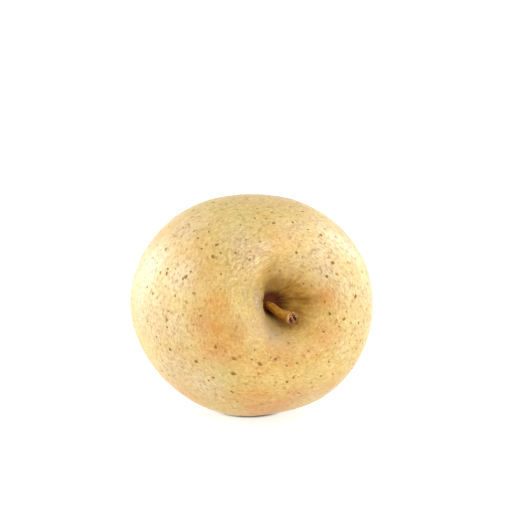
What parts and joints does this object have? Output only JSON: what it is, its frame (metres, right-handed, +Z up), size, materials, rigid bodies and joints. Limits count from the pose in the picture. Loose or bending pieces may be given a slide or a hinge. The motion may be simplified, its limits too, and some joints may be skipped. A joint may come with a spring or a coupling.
{
  "type": "russet apple",
  "caption": "Whole russet apple lying on its cheek, with a deep stem cavity, a short stout leaning stem, low ribs, and a dried calyx in a shallow basin at the far end.",
  "frame": {"origin": "centre of the small flat spot on the cheek that the apple rests on", "axes": "+Z up, away from the flat spot; -Y towards the stem end, which is raised 7.5 degrees; +X to the right when the stem end is looked at"},
  "size_m": [0.0848, 0.0727, 0.0768],
  "materials": {
    "russet_skin": "matte dry skin, straw yellow with a fine tan russet net and brown lenticels",
    "stem_wood": "matt dry bark",
    "dried_sepal": "matt, dry and papery"
  },
  "bodies": {
    "root": {"fruit": "russet_skin", "stem": "stem_wood", "calyx": "dried_sepal"}
  },
  "joints": []
}
